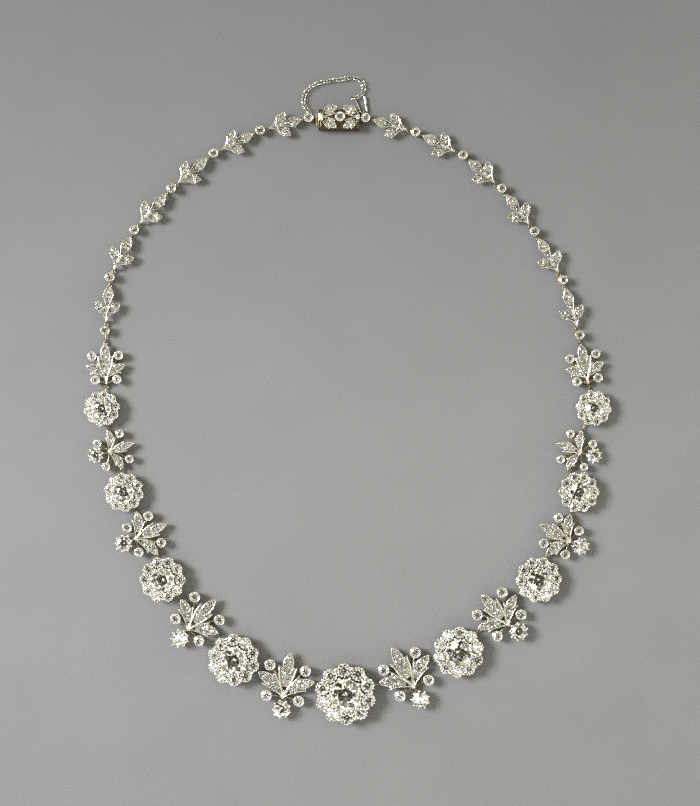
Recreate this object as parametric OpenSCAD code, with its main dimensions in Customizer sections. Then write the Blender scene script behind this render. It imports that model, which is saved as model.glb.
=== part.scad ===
// Diamond garland necklace, laid flat with its neck opening facing up.
// Nine flower clusters hang between ten leaf sprays, and a chain of collets and trefoils
// runs up both sides to a box clasp with a safety chain.
// Every piece is linked to the next by two small rings, one flat and one upright.
// +Y runs from the big flower to the clasp, and the backs of the pieces lie on z = 0.

/* [Stones] */
// Depth below the girdle, as a part of the stone's diameter
pavilion_part = 0.43; // [0.38:0.01:0.46]
// Height above the girdle, as a part of the stone's diameter
crown_part = 0.15; // [0.12:0.01:0.2]
// Width of the table, as a part of the stone's diameter
table_part = 0.52; // [0.45:0.01:0.6]
// Clearance between a stone and its seat
seat_gap = 0.04; // [0.03:0.01:0.06]

/* [Settings] */
// Rim of metal round a stone that sits in a cup
rim = 0.2; // [0.16:0.01:0.24]
// Height of a cup's rim above the girdle
rim_height = 0.12; // [0.08:0.01:0.16]
// Width of the ledge that carries a stone, as a part of its diameter
ledge_part = 0.08; // [0.06:0.01:0.1]
// Radius of a claw on a spray's big stone
claw_radius = 0.22; // [0.18:0.01:0.26]

/* [Flowers] */
// Petals of a flower
petals = 10; // [10:1:10]
// Distance of the petals from the middle, as a part of the flower's width
petal_ring = 0.384; // [0.38:0.001:0.388]
// Radius of a petal's cup, as a part of the flower's width
petal_cup = 0.122; // [0.121:0.001:0.124]
// Diameter of a petal's stone, as a part of the flower's width
petal_stone = 0.205; // [0.19:0.005:0.205]
// Diameter of the middle stone, as a part of the flower's width
middle_stone = 0.49; // [0.47:0.005:0.495]
// Underside of the petal cups
petal_floor = 1.45; // [1.4:0.05:1.6]

/* [Leaves] */
// Underside of the leaves
leaf_floor = 1.3; // [1.25:0.05:1.4]
// Thickness of a leaf
leaf_thick = 0.8; // [0.7:0.05:0.9]
// How far the middle leaf stands above its side leaves
leaf_step = 0.15; // [0.1:0.05:0.2]
// Depth of the stone bed inside a leaf's rim
bed_depth = 0.25; // [0.2:0.05:0.3]
// Bow of a side leaf towards the middle leaf, as a part of its length
leaf_bow = 0.1; // [0:0.01:0.12]
// Radius of the stems that carry a spray's round stones
stem_radius = 0.2; // [0.18:0.01:0.25]

/* [Rings] */
// Radius of a linking ring, to the middle of its wire
eye_radius = 0.42; // [0.41:0.01:0.44]
// Radius of a linking ring's wire
eye_wire = 0.14; // [0.13:0.01:0.14]
// Distance between the middles of two linked rings
eye_step = 0.46; // [0.44:0.01:0.47]
// Height of the linking rings' middles
eye_z = 0.66; // [0.64:0.01:0.68]

/* [Chain] */
// Outer diameter of the collets in the chain
collet_d = 2.36; // [2.3:0.02:2.4]
// Height of a collet's girdle
collet_girdle = 2.2; // [2.1:0.05:2.3]
// How far a trefoil's outer leaf reaches out from the chain
outer_spread = 2.9; // [2.7:0.1:3.1]
// How far a trefoil's inner leaf reaches out from the chain
inner_spread = 3.1; // [2.9:0.1:3.3]

/* [Clasp] */
// Length of the clasp's box
box_l = 10.2; // [10:0.1:10.4]
// Width of the clasp's box
box_w = 4.9; // [4.7:0.1:5]
// Height of the clasp's box
box_h = 2.6; // [2.6:0.1:2.8]
// Wall of the clasp's box
box_wall = 0.45; // [0.4:0.05:0.5]
// Width of the tongue
tongue_w = 3.0; // [2.8:0.1:3.2]

/* [Safety chain] */
// Steps of the safety chain from one end ring to the other
chain_steps = 35; // [35:1:35]
// Radius of a link, to the middle of its wire
link_radius = 0.57; // [0.56:0.01:0.58]
// Radius of a link's wire
link_wire = 0.12; // [0.11:0.01:0.12]

/* [Hidden] */
// Flowers in order round the loop, from the left end of the chain to its right end
FLOWER_X = 0;
FLOWER_Y = 1;
FLOWER_WIDTH = 2;
FLOWERS = [
    [-61.6, -2.2, 9.0],
    [-56.1, -23.1, 9.9],
    [-46.4, -44.95, 11.5],
    [-28.65, -65.0, 13.1],
    [-0.75, -73.5, 15.4],
    [27.5, -63.1, 12.9],
    [47.55, -45.0, 11.6],
    [57.6, -23.1, 10.2],
    [61.3, -2.1, 9.0],
];
// Sprays in the same order: where the leaves meet, which way the middle leaf points
// (degrees anticlockwise from +Y), which of the graded shapes it has, and where its big
// stone is when the middle leaf points along +Y
SPRAY_X = 0;
SPRAY_Y = 1;
SPRAY_TURN = 2;
SPRAY_SHAPE = 3;
SPRAY_BIG_X = 4;
SPRAY_BIG_Y = 5;
SPRAYS = [
    [-60.6, 4.1, 2, 0, 0, 0],
    [-60.05, -13.2, -69, 1, -0.5, -3.2],
    [-53.55, -34.95, -64, 2, -0.25, -2.8],
    [-40.4, -57.65, -43, 3, 0.05, -2.7],
    [-16.5, -74.7, -10, 4, 0.25, -2.7],
    [16.5, -72.15, 29, 4, -0.05, -3.2],
    [40.3, -56.55, 42, 3, 0.8, -2.6],
    [55.65, -35.6, 60, 2, 0.3, -2.7],
    [58.35, -13.3, 69, 1, 0.5, -3.2],
    [60.0, 4.1, 11, 0, 0, 0],
];
// Graded shapes of a spray, measured from where its leaves meet, with the middle leaf
// along +Y. BIG_D is the diameter of the big stone, or 0 without one.
LEAF_L = 0;
TIP_X = 1;
TIP_Y = 2;
UPPER_X = 3;
UPPER_Y = 4;
LOWER_X = 5;
LOWER_Y = 6;
CUP_D = 7;
BIG_D = 8;
SPRAY_SHAPES = [
    [10.0, 4.75, 4.5, 3.3, 6.9, 2.7, 0.9, 2.3, 0],
    [6.6, 5.1, 1.9, 3.4, 4.3, 3.1, -1.8, 2.1, 3.2],
    [8.9, 6.0, 3.6, 3.7, 5.7, 3.4, -0.4, 2.4, 3.7],
    [10.5, 6.3, 4.7, 4.2, 7.4, 4.0, 0.1, 2.7, 4.0],
    [11.6, 7.1, 5.4, 4.5, 7.7, 4.1, 0, 2.8, 4.1],
];
// Middles of the collets, from the clasp down each side
COLLETS_LEFT = [
    [-9.95, 70.6], [-22.1, 67.4], [-33.75, 61.7], [-44.3, 52.9], [-53.6, 42.5],
    [-59.7, 30.7], [-60.9, 17.3],
];
COLLETS_RIGHT = [
    [4.3, 70.6], [16.8, 66.95], [28.65, 61.2], [38.35, 52.9], [46.6, 42.15],
    [53.7, 29.95], [57.9, 16.2],
];
// Outline of a leaf from its stem to its tip: part of the length, part of the half width
LEAF_OUTLINE = [
    [0, 0.12], [0.18, 0.24], [0.32, 0.5], [0.45, 0.74], [0.58, 0.91], [0.72, 1.06],
    [0.655, 0.65], [0.76, 0.62], [0.87, 0.45], [0.95, 0.2], [1, 0.04],
];
// Control points of the safety chain's route, from the tongue's ring to the pin's ring
CHAIN_ROUTE = [
    [-9.8, 72.1], [-11.2, 74.4], [-10.8, 77.0], [-8.8, 78.9], [-5.6, 80.0], [-2.1, 80.4],
    [0.2, 80.8], [2.2, 80.6], [3.7, 79.3], [3.8, 77.5], [2.7, 76.2], [1.2, 75.9],
];
curve = 48;
fine_curve = 24;
bead_curve = 20;
small = 0.01;
// Base ring of a flower, as parts of its width: inner and outer radius, and the middle of its wall
base_inner = 0.3;
base_outer = 0.39;
base_wall = 0.36;
// How far the base ring reaches up into the petal cups
base_sink = 0.15;
// Radius of the middle cup, as a part of the flower's width
middle_cup = 0.272;
// Claws of a flower, as parts of its width: radius, and distances from the middle
flower_claw = 0.025;
outer_claw_ring = 0.43;
inner_claw_ring = 0.27;
// How far the claws stand above the rims, and where the inner ones start above the petal cups' floor
claw_rise = 0.1;
claw_start = 0.5;
// Claws of a spray's big stone, and how far below its rim its cup ends
claws = 8;
claw_foot = 0.3;
big_cup_drop = 0.2;
girdle_points = 16;
table_points = 8;
pavilion_slope = 2 * pavilion_part;
leaf_top = leaf_floor + leaf_thick;
// Middle and size of a leaf's stone bed, as parts of the leaf
bed_middle = 0.62;
bed_part = 0.8;
// Half width of a side leaf, as a part of its length
side_leaf_part = 0.215;
// Where the side leaves of an end spray leave its middle leaf
end_leaf_start = 1.2;
// Height of the middles of the stems, and radius of the foot where they meet
stem_z = 1.0;
foot_r = 0.55;
// Side of the square posts that hang the rings under the leaves
post_w = 0.4;
// How far those posts reach up into a leaf
post_sink = 0.3;
// Half width of a spray's leaf, as a part of its length
spray_leaf_part = 0.175;
// Part of a side leaf's length at which its ring hangs under it
side_post = 0.86;
// Part of the top leaf's length at which its ring hangs under it
top_post = 0.97;
// Distance from a collet's middle to the far side of its neighbour's ring, and how far its own
// ring stands off its wall
ring_past = 0.05;
collet_reach = collet_d / 2 + ring_past + 2 * eye_radius + eye_step;
// How far a trefoil's tip and its stem run past their rings
trefoil_tip_past = 0.6;
trefoil_stem_past = 0.3;
// Width of a trefoil's stem, and its height above the leaves' underside
stalk_w = 0.4;
stalk_rise = 0.05;
// Places in a trefoil, from the foot of its stem: how far up the chain, and how far out from it
stalk_end = [3.6, -0.05];
outer_leaf_start = [1.9, 0.05];
outer_leaf_tip = [4.9, outer_spread];
inner_leaf_start = [2.2, -0.1];
inner_leaf_tip = [4.8, -inner_spread];
top_leaf_start = [3.1, -0.05];
// Half widths of a trefoil's leaves
outer_leaf_w = 1.2;
inner_leaf_w = 1.3;
top_leaf_w = 1.0;
// How deep an arm is sunk into a collet's wall
arm_sink = 0.15;
last_collet = len(COLLETS_LEFT) - 1;
route_samples = 240;
middle_flower = floor(len(FLOWERS) / 2);

// Middle of the clasp's box
clasp_x = -2.4;
clasp_y = 70.05;
// Leaf motif on the box, with a round stone in its middle
motif_x = clasp_x + 0.3;
motif_y = clasp_y + 0.6;
motif_z = box_h - small;
motif_thick = 0.6;
motif_cup_d = 2.5;
motif_girdle = box_h + 0.97;
motif_bore = box_h + 0.05;
// The motif's leaves: where they start and end beside the middle, and their half width
motif_foot = 4.6;
motif_tip_x = 0.9;
motif_tip_y = 2.7;
motif_leaf_w = 1.1;
// Small bar at the box's end over the slot
end_bar_w = 0.4;
end_bar_l = 1.8;
// Bridge from the box to the first collet on the right
bridge_w = 1;
bridge_floor = 0.4;
bridge_h = 1.2;
tongue_floor = 0.6;
tongue_sheet = 0.35;
tongue_top = 1.7;
slot_gap = 0.15;
tongue_end = clasp_x + 0.3;
// Start of the tongue outside the box, the plate that closes its fold, and its neck to the collet
tongue_start = clasp_x - box_l / 2 - 0.2;
fold_l = 0.5;
fold_past = 0.4;
neck_w = 1.4;
// Height of the links' middles, and how far they lean to either side
link_z = 0.54;
link_lean = 45;
pin_wire = 0.2;
pin_bend = 0.7;
pin_z = 0.6;
pin_x = 3.75;
pin_y = 72.85;
pin_eye_radius = 0.58;
pin_eye_z = 0.72;
pin_tip = [4.15, 75.75];
pin_grip_part = 0.45;
pin_grip_radius = 0.28;

function unit(v) = v / norm(v);
function heading(v) = atan2(v.y, v.x);
function turned(p, a) = [p.x * cos(a) - p.y * sin(a), p.x * sin(a) + p.y * cos(a)];
function mix(a, b, t) = a + (b - a) * t;

function flower_at(k) = [FLOWERS[k][FLOWER_X], FLOWERS[k][FLOWER_Y]];
function spray_at(k) = [SPRAYS[k][SPRAY_X], SPRAYS[k][SPRAY_Y]];
function spray_point(k, p) = spray_at(k) + turned(p, SPRAYS[k][SPRAY_TURN]);
function shape_of(k) = SPRAY_SHAPES[SPRAYS[k][SPRAY_SHAPE]];
function has_big_stone(k) = shape_of(k)[BIG_D] > 0;
function big_place(k) = [SPRAYS[k][SPRAY_BIG_X], SPRAYS[k][SPRAY_BIG_Y]];

// Place on a side leaf under which its ring hangs; side is -1 or 1
function side_post_at(k, side) =
    spray_point(k, [side * shape_of(k)[TIP_X], shape_of(k)[TIP_Y]] * side_post);
// The end spray on each side is linked at its top leaf and at its foot instead
function spray_post(k, side) =
    has_big_stone(k) ? side_post_at(k, side)
    : (k == 0) == (side < 0) ? spray_point(k, [0, shape_of(k)[LEAF_L] * top_post])
    : spray_at(k);

// Heights in a flower of width w
function petal_girdle(w) = 1.7 + 0.1 * w;
function middle_girdle(w) = petal_girdle(w) + 0.085 * w;

// The four round stones of a spray shape
function cup_places(s) = [
    [-s[UPPER_X], s[UPPER_Y]], [s[UPPER_X], s[UPPER_Y]],
    [-s[LOWER_X], s[LOWER_Y]], [s[LOWER_X], s[LOWER_Y]],
];
function cup_stone(cup_d) = cup_d - 2 * (rim + seat_gap);
function cup_girdle(cup_d) = collet_girdle + 0.2 * (cup_d - 2.2);
function big_girdle(d) = pavilion_part * d + 0.7;

// A round brilliant with an eight-sided table and a sixteen-sided girdle at z = 0
function ring_points(n, r, z) = [for (i = [0:n - 1]) [r * cos(360 * i / n), r * sin(360 * i / n), z]];
function stone_points(d) = concat(
    ring_points(table_points, d * table_part / 2, d * crown_part),
    ring_points(girdle_points, d / 2, 0),
    [[0, 0, -d * pavilion_part]]
);
function girdle(j) = table_points + j % girdle_points;
stone_faces = concat(
    [[for (i = [table_points - 1:-1:0]) i]],
    [for (i = [0:table_points - 1]) [i, girdle(2 * i + 1), girdle(2 * i)]],
    [for (i = [0:table_points - 1]) [i, (i + 1) % table_points, girdle(2 * i + 1)]],
    [for (i = [0:table_points - 1]) [(i + 1) % table_points, girdle(2 * i + 2), girdle(2 * i + 1)]],
    [for (j = [0:girdle_points - 1]) [girdle(j), girdle(j + 1), table_points + girdle_points]]
);

module cut_stone(d, girdle_z) {
    translate([0, 0, girdle_z])
        polyhedron(points = stone_points(d), faces = stone_faces);
}

// The room that a stone needs in its setting: the ledge's bore and the wider bore above it
module stone_room(d, girdle_z, floor_z) {
    bore_r = d * (0.5 - ledge_part);
    seat_z = girdle_z - (d / 2 - bore_r) * pavilion_slope - seat_gap;
    translate([0, 0, floor_z])
        cylinder(r = bore_r, h = seat_z - floor_z + small, $fn = curve);
    translate([0, 0, seat_z])
        cylinder(r = d / 2 + seat_gap, h = d, $fn = curve);
}

// One ring of a link, lying flat or standing up in the plane of the chain
module eye(at, a, upright) {
    translate([at.x, at.y, eye_z])
        rotate([upright ? 90 : 0, 0, a])
            rotate_extrude($fn = curve)
                translate([eye_radius, 0]) circle(r = eye_wire, $fn = bead_curve);
}

// Ring that hangs under a leaf at post and is turned towards the hub
module leaf_eye(post, hub, upright) {
    u = unit(post - hub);
    eye(post - u * eye_radius, heading(u), upright);
    translate([post.x, post.y, eye_z - eye_wire])
        rotate(heading(u))
            translate([-post_w / 2, -post_w / 2, 0])
                cube([post_w, post_w, leaf_floor + post_sink - eye_z + eye_wire]);
}

// Ring on an arm that leaves the hub's wall towards the post
module hub_eye(hub, post, wall_r, upright) {
    u = unit(post - hub);
    far = norm(post - hub) - 2 * eye_radius - eye_step;
    eye(hub + u * (far + eye_radius), heading(u), upright);
    translate([hub.x, hub.y, eye_z])
        rotate([0, 90, heading(u)])
            translate([0, 0, wall_r])
                cylinder(r = stem_radius, h = far - wall_r, $fn = bead_curve);
}

// A leaf's outline along +Y: one side out to the tip and the other side back
function leaf_point(s, side, l, w, bow) =
    [side * s[1] * w + 4 * bow * l * s[0] * (1 - s[0]), s[0] * l];
function leaf_points(l, w, bow) = concat(
    [for (s = LEAF_OUTLINE) leaf_point(s, 1, l, w, bow)],
    [for (i = [len(LEAF_OUTLINE) - 1:-1:0]) leaf_point(LEAF_OUTLINE[i], -1, l, w, bow)]
);
// The stone bed is the same outline drawn in towards the leaf's belly
function bed_points(l, w, bow) = [
    for (p = leaf_points(l, w, bow))
        let (middle_x = 4 * bow * l * bed_middle * (1 - bed_middle))
        [mix(middle_x, p.x, bed_part), mix(bed_middle * l, p.y, bed_part)]
];

module leaf(from, to, w, bow, floor_z, thick) {
    l = norm(to - from);
    translate([from.x, from.y, floor_z])
        rotate(heading(to - from) - 90)
            difference() {
                linear_extrude(thick) polygon(leaf_points(l, w, bow));
                translate([0, 0, thick - bed_depth])
                    linear_extrude(thick) polygon(bed_points(l, w, bow));
            }
}

// Claw that stands at a distance from the middle, from one height to another
module claw(distance, r, from_z, to_z) {
    translate([distance, 0, from_z])
        cylinder(r = r, h = to_z - from_z, $fn = bead_curve);
}

// Metal of one flower: a base ring, ten petal cups, a middle cup and the claws
module flower_setting(w) {
    petal_top = petal_girdle(w) + rim_height;
    middle_top = middle_girdle(w) + rim_height;
    petal_step = 360 / petals;
    difference() {
        union() {
            cylinder(r = base_outer * w, h = petal_floor + base_sink, $fn = curve);
            translate([0, 0, petal_floor])
                cylinder(r = middle_cup * w, h = middle_top - petal_floor, $fn = curve);
            for (i = [0:petals - 1])
                rotate(i * petal_step) {
                    translate([petal_ring * w, 0, petal_floor])
                        cylinder(r = petal_cup * w, h = petal_top - petal_floor, $fn = curve);
                    rotate(petal_step / 2) {
                        claw(outer_claw_ring * w, flower_claw * w, petal_floor, petal_top + claw_rise);
                        claw(inner_claw_ring * w, flower_claw * w, petal_floor + claw_start,
                            middle_top + claw_rise);
                    }
                }
        }
        translate([0, 0, -small]) cylinder(r = base_inner * w, h = petal_floor + small, $fn = curve);
        stone_room(w * middle_stone, middle_girdle(w), petal_floor - small);
        for (i = [0:petals - 1])
            rotate(i * petal_step)
                translate([petal_ring * w, 0, 0])
                    stone_room(w * petal_stone, petal_girdle(w), petal_floor - small);
    }
}

module flower(k) {
    w = FLOWERS[k][FLOWER_WIDTH];
    at = flower_at(k);
    color("gainsboro") {
        translate([at.x, at.y, 0]) rotate(petal_turn(k)) flower_setting(w);
        hub_eye(at, spray_post(k, 1), base_wall * w, k > middle_flower);
        hub_eye(at, spray_post(k + 1, -1), base_wall * w, k < middle_flower);
    }
}
// A petal points at the neighbour on the left, so that the ring's arm runs under it
function petal_turn(k) = heading(spray_post(k, 1) - flower_at(k));

module flower_stones(k) {
    w = FLOWERS[k][FLOWER_WIDTH];
    at = flower_at(k);
    color("white")
        translate([at.x, at.y, 0]) rotate(petal_turn(k)) {
            cut_stone(w * middle_stone, middle_girdle(w));
            for (i = [0:petals - 1])
                rotate(i * 360 / petals)
                    translate([petal_ring * w, 0, 0]) cut_stone(w * petal_stone, petal_girdle(w));
        }
}

// Cup of a round stone, standing on the surface
module cup(cup_d) {
    cylinder(d = cup_d, h = cup_girdle(cup_d) + rim_height, $fn = curve);
}
module cup_room(cup_d) {
    stone_room(cup_stone(cup_d), cup_girdle(cup_d), -small);
}

module stem(from, to) {
    translate([from.x, from.y, stem_z])
        rotate([0, 90, heading(to - from)])
            cylinder(r = stem_radius, h = norm(to - from), $fn = bead_curve);
}

module spray_leaves(s) {
    side_w = side_leaf_part * norm([s[TIP_X], s[TIP_Y]]);
    start = [0, s[BIG_D] > 0 ? 0 : end_leaf_start];
    for (side = [-1, 1])
        leaf(start, [side * s[TIP_X], s[TIP_Y]], side_w, -side * leaf_bow, leaf_floor, leaf_thick);
    leaf([0, 0], [0, s[LEAF_L]], spray_leaf_part * s[LEAF_L], 0, leaf_floor + leaf_step, leaf_thick);
}

module spray_metal(s, big) {
    big_r = s[BIG_D] / 2;
    big_top = big_girdle(s[BIG_D]);
    // The foot of an end spray stops above its neighbour's ring
    foot_floor = big_r > 0 ? 0 : stem_z;
    difference() {
        union() {
            translate([0, 0, foot_floor])
                cylinder(r = foot_r, h = leaf_top - foot_floor, $fn = fine_curve);
            spray_leaves(s);
            for (p = cup_places(s)) {
                translate([p.x, p.y, 0]) cup(s[CUP_D]);
                stem([0, 0], p);
            }
            if (big_r > 0) {
                stem([0, 0], big);
                translate([big.x, big.y, 0]) {
                    cylinder(r = big_r + seat_gap + small, h = big_top - big_cup_drop, $fn = curve);
                    for (i = [0:claws - 1])
                        rotate((i + 0.5) * 360 / claws)
                            claw(big_r + claw_radius, claw_radius, claw_foot, big_top + claw_foot);
                }
            }
        }
        for (p = cup_places(s)) translate([p.x, p.y, 0]) cup_room(s[CUP_D]);
        if (big_r > 0)
            translate([big.x, big.y, 0]) stone_room(s[BIG_D], big_top, -small);
    }
}

module spray(k) {
    at = spray_at(k);
    s = shape_of(k);
    last = len(SPRAYS) - 1;
    before = k == 0 ? COLLETS_LEFT[last_collet] : flower_at(k - 1);
    after = k == last ? COLLETS_RIGHT[last_collet] : flower_at(k);
    color("gainsboro") {
        translate([at.x, at.y, 0]) rotate(SPRAYS[k][SPRAY_TURN]) spray_metal(s, big_place(k));
        leaf_eye(spray_post(k, -1), before, k > middle_flower);
        leaf_eye(spray_post(k, 1), after, k <= middle_flower);
    }
}

module spray_stones(k) {
    at = spray_at(k);
    s = shape_of(k);
    color("white")
        translate([at.x, at.y, 0]) rotate(SPRAYS[k][SPRAY_TURN]) {
            for (p = cup_places(s))
                translate([p.x, p.y, 0]) cut_stone(cup_stone(s[CUP_D]), cup_girdle(s[CUP_D]));
            if (has_big_stone(k))
                translate([big_place(k).x, big_place(k).y, 0])
                    cut_stone(s[BIG_D], big_girdle(s[BIG_D]));
        }
}

// Trefoil i hangs between collet i and the next one down, with its tip towards the clasp
function trefoil_top(collets, i) =
    collets[i] + unit(collets[i + 1] - collets[i]) * collet_reach;
function trefoil_foot(collets, i) =
    collets[i + 1] - unit(collets[i + 1] - collets[i]) * collet_reach;

module trefoil(collets, i) {
    top = trefoil_top(collets, i);
    foot = trefoil_foot(collets, i);
    up = unit(top - foot);
    right = [up.y, -up.x];
    out = collets[0].x < clasp_x ? -right : right;
    stem_end = foot - up * trefoil_stem_past;
    function place(p) = stem_end + up * p.x + out * p.y;
    color("gainsboro") {
        leaf(place(top_leaf_start), top + up * trefoil_tip_past, top_leaf_w, 0,
            leaf_floor + leaf_step, leaf_thick);
        leaf(place(outer_leaf_start), place(outer_leaf_tip), outer_leaf_w, 0, leaf_floor, leaf_thick);
        leaf(place(inner_leaf_start), place(inner_leaf_tip), inner_leaf_w, 0, leaf_floor, leaf_thick);
        stalk(stem_end, place(stalk_end));
        leaf_eye(top, collets[i], false);
        leaf_eye(foot, collets[i + 1], true);
    }
}

module stalk(from, to) {
    translate([from.x, from.y, leaf_floor + stalk_rise])
        rotate(heading(to - from))
            translate([0, -stalk_w / 2, 0]) cube([norm(to - from), stalk_w, leaf_thick]);
}

// Collet with the rings that the chain needs; the first one is part of the clasp
module collet(collets, i) {
    at = collets[i];
    below = i < last_collet ? trefoil_top(collets, i) : end_spray_post(collets);
    difference() {
        union() {
            translate([at.x, at.y, 0]) cup(collet_d);
            if (i > 0) hub_eye(at, trefoil_foot(collets, i - 1), collet_d / 2 - arm_sink, false);
            hub_eye(at, below, collet_d / 2 - arm_sink, true);
        }
        translate([at.x, at.y, 0]) cup_room(collet_d);
    }
}
function end_spray_post(collets) =
    collets[0].x < clasp_x ? spray_post(0, -1) : spray_post(len(SPRAYS) - 1, 1);

module chain_collets(collets) {
    color("gainsboro")
        for (i = [1:last_collet]) collet(collets, i);
}

module chain_stones(collets) {
    color("white")
        for (i = [1:last_collet])
            translate([collets[i].x, collets[i].y, 0])
                cut_stone(cup_stone(collet_d), cup_girdle(collet_d));
}

// Hollow box of the clasp with a slot for the tongue, a leaf motif on top and the first collet
module clasp_box() {
    left = clasp_x - box_l / 2;
    right = clasp_x + box_l / 2;
    first = COLLETS_RIGHT[0];
    color("goldenrod")
        difference() {
            union() {
                translate([left, clasp_y - box_w / 2, 0]) cube([box_l, box_w, box_h]);
                translate([right - box_wall, clasp_y - bridge_w / 2, bridge_floor])
                    cube([first.x - right + box_wall, bridge_w, bridge_h]);
                collet(COLLETS_RIGHT, 0);
                pin_eye();
                clasp_motif();
            }
            translate([left + box_wall, clasp_y - box_w / 2 + box_wall, box_wall])
                cube([box_l - 2 * box_wall, box_w - 2 * box_wall, box_h - 2 * box_wall]);
            translate([left - small, clasp_y - tongue_w / 2 - slot_gap, tongue_floor - slot_gap])
                cube([box_wall + 2 * small, tongue_w + 2 * slot_gap,
                    tongue_top - tongue_floor + 2 * slot_gap]);
            translate([motif_x, motif_y, 0])
                stone_room(cup_stone(motif_cup_d), motif_girdle, motif_bore);
            translate([first.x, first.y, 0]) cup_room(collet_d);
        }
}

module clasp_motif() {
    for (side = [-1, 1])
        for (end = [-1, 1])
            leaf([motif_x + end * motif_foot, motif_y],
                [motif_x + end * motif_tip_x, motif_y + side * motif_tip_y],
                motif_leaf_w, 0, motif_z, motif_thick);
    translate([clasp_x - box_l / 2, motif_y - end_bar_l / 2, motif_z])
        cube([end_bar_w, end_bar_l, motif_thick]);
    translate([motif_x, motif_y, motif_z])
        cylinder(d = motif_cup_d, h = motif_girdle + rim_height - motif_z, $fn = curve);
}

// Ring on the right collet that the safety pin is hooked through
module pin_eye() {
    translate([pin_x, pin_y - pin_bend, pin_eye_z])
        rotate([90, 0, 90])
            rotate_extrude($fn = curve)
                translate([pin_eye_radius, 0]) circle(r = link_wire, $fn = bead_curve);
}

// Folded tongue with the left collet and the ring that starts the safety chain
module clasp_tongue() {
    first = COLLETS_LEFT[0];
    color("goldenrod")
        difference() {
            union() {
                for (z = [tongue_floor, tongue_top - tongue_sheet])
                    translate([tongue_start, clasp_y - tongue_w / 2, z])
                        cube([tongue_end - tongue_start, tongue_w, tongue_sheet]);
                translate([tongue_end - tongue_sheet, clasp_y - tongue_w / 2, tongue_floor])
                    cube([tongue_sheet, tongue_w, tongue_top - tongue_floor]);
                translate([tongue_start - fold_past, clasp_y - tongue_w / 2, tongue_floor])
                    cube([fold_l, tongue_w, tongue_top - tongue_floor]);
                translate([first.x, clasp_y - neck_w / 2, tongue_floor])
                    cube([tongue_start - first.x, neck_w, tongue_top - tongue_floor]);
                collet(COLLETS_LEFT, 0);
                chain_link(0);
            }
            translate([first.x, first.y, 0]) cup_room(collet_d);
        }
}

module clasp_stones() {
    color("white") {
        translate([motif_x, motif_y, 0]) cut_stone(cup_stone(motif_cup_d), motif_girdle);
        for (at = [COLLETS_LEFT[0], COLLETS_RIGHT[0]])
            translate([at.x, at.y, 0]) cut_stone(cup_stone(collet_d), cup_girdle(collet_d));
    }
}

// The safety chain's route is a smooth curve, which its links follow in steps of equal length
route_last = len(CHAIN_ROUTE) - 1;
function route_control(i) = CHAIN_ROUTE[max(0, min(route_last, i))];
function spline(a, b, c, d, t) =
    0.5 * (2 * b + (c - a) * t + (2 * a - 5 * b + 4 * c - d) * t * t
    + (3 * b - a - 3 * c + d) * t * t * t);
function route_at(u) =
    let (i = min(floor(u), route_last - 1))
    spline(route_control(i - 1), route_control(i), route_control(i + 1), route_control(i + 2), u - i);
samples = [for (i = [0:route_samples]) route_at(i * route_last / route_samples)];
function run_to(i) = i == 0 ? [0]
    : let (before = run_to(i - 1)) concat(before, [before[i - 1] + norm(samples[i] - samples[i - 1])]);
runs = run_to(route_samples);
link_pitch = runs[route_samples] / chain_steps;
sample_runs = [for (j = [0:route_samples]) [runs[j], j]];
link_spots = [for (i = [0:chain_steps]) lookup(i * link_pitch, sample_runs)];
function link_at(i) =
    let (s = link_spots[max(0, min(chain_steps, i))], j = min(floor(s), route_samples - 1))
    mix(samples[j], samples[j + 1], s - j);

// Links lean over to the left and to the right in turn
module chain_link(i) {
    at = link_at(i);
    translate([at.x, at.y, link_z])
        rotate([0, 0, heading(link_at(i + 1) - link_at(i - 1))])
            rotate([i % 2 == 0 ? link_lean : -link_lean, 0, 0])
                rotate_extrude($fn = curve)
                    translate([link_radius, 0]) circle(r = link_wire, $fn = bead_curve);
}

module safety_chain() {
    color("silver")
        for (i = [1:chain_steps - 1]) chain_link(i);
}

module rod(from, to, r) {
    translate([from.x, from.y, pin_z])
        rotate([0, 90, heading(to - from)]) cylinder(r = r, h = norm(to - from), $fn = fine_curve);
}

// Hairpin that hooks through the ring on the right collet
module safety_pin() {
    ring = link_at(chain_steps);
    left_foot = [pin_x - pin_bend, pin_y];
    right_foot = [pin_x + pin_bend, pin_y];
    grip = mix(right_foot, pin_tip, pin_grip_part);
    ring_end = ring + unit(ring - link_at(chain_steps - 1)) * link_radius;
    color("silver") {
        chain_link(chain_steps);
        rod(left_foot, ring_end, pin_wire);
        rod(right_foot, mix(grip, pin_tip, 0.5), pin_wire);
        rod(grip, pin_tip, pin_grip_radius);
        for (p = [left_foot, right_foot])
            translate([p.x, p.y, pin_z]) sphere(r = pin_wire + small, $fn = fine_curve);
        translate([pin_x, pin_y, pin_z])
            rotate(180)
                rotate_extrude(angle = 180, $fn = curve)
                    translate([pin_bend, 0]) circle(r = pin_wire, $fn = bead_curve);
    }
}

for (k = [1:len(FLOWERS)]) {
    flower(k - 1);
    flower_stones(k - 1);
}
for (k = [1:len(SPRAYS)]) {
    spray(k - 1);
    spray_stones(k - 1);
}
for (i = [1:last_collet]) {
    trefoil(COLLETS_LEFT, i - 1);
    trefoil(COLLETS_RIGHT, i - 1);
}
chain_collets(COLLETS_LEFT);  // chain_collets_left
chain_collets(COLLETS_RIGHT);  // chain_collets_right
chain_stones(COLLETS_LEFT);  // chain_stones_left
chain_stones(COLLETS_RIGHT);  // chain_stones_right
clasp_box();
clasp_tongue();
clasp_stones();
safety_chain();
safety_pin();
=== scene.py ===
"""A diamond garland necklace laid flat: nine flower clusters, ten leaf sprays and a back chain.

Pieces are modelled in millimetres at the necklace's own place and scaled to metres when they
are finished. Round stones are cut, facet by facet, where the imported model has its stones.
"""
import math
import random

import bpy
from mathutils import Matrix, Vector


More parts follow.
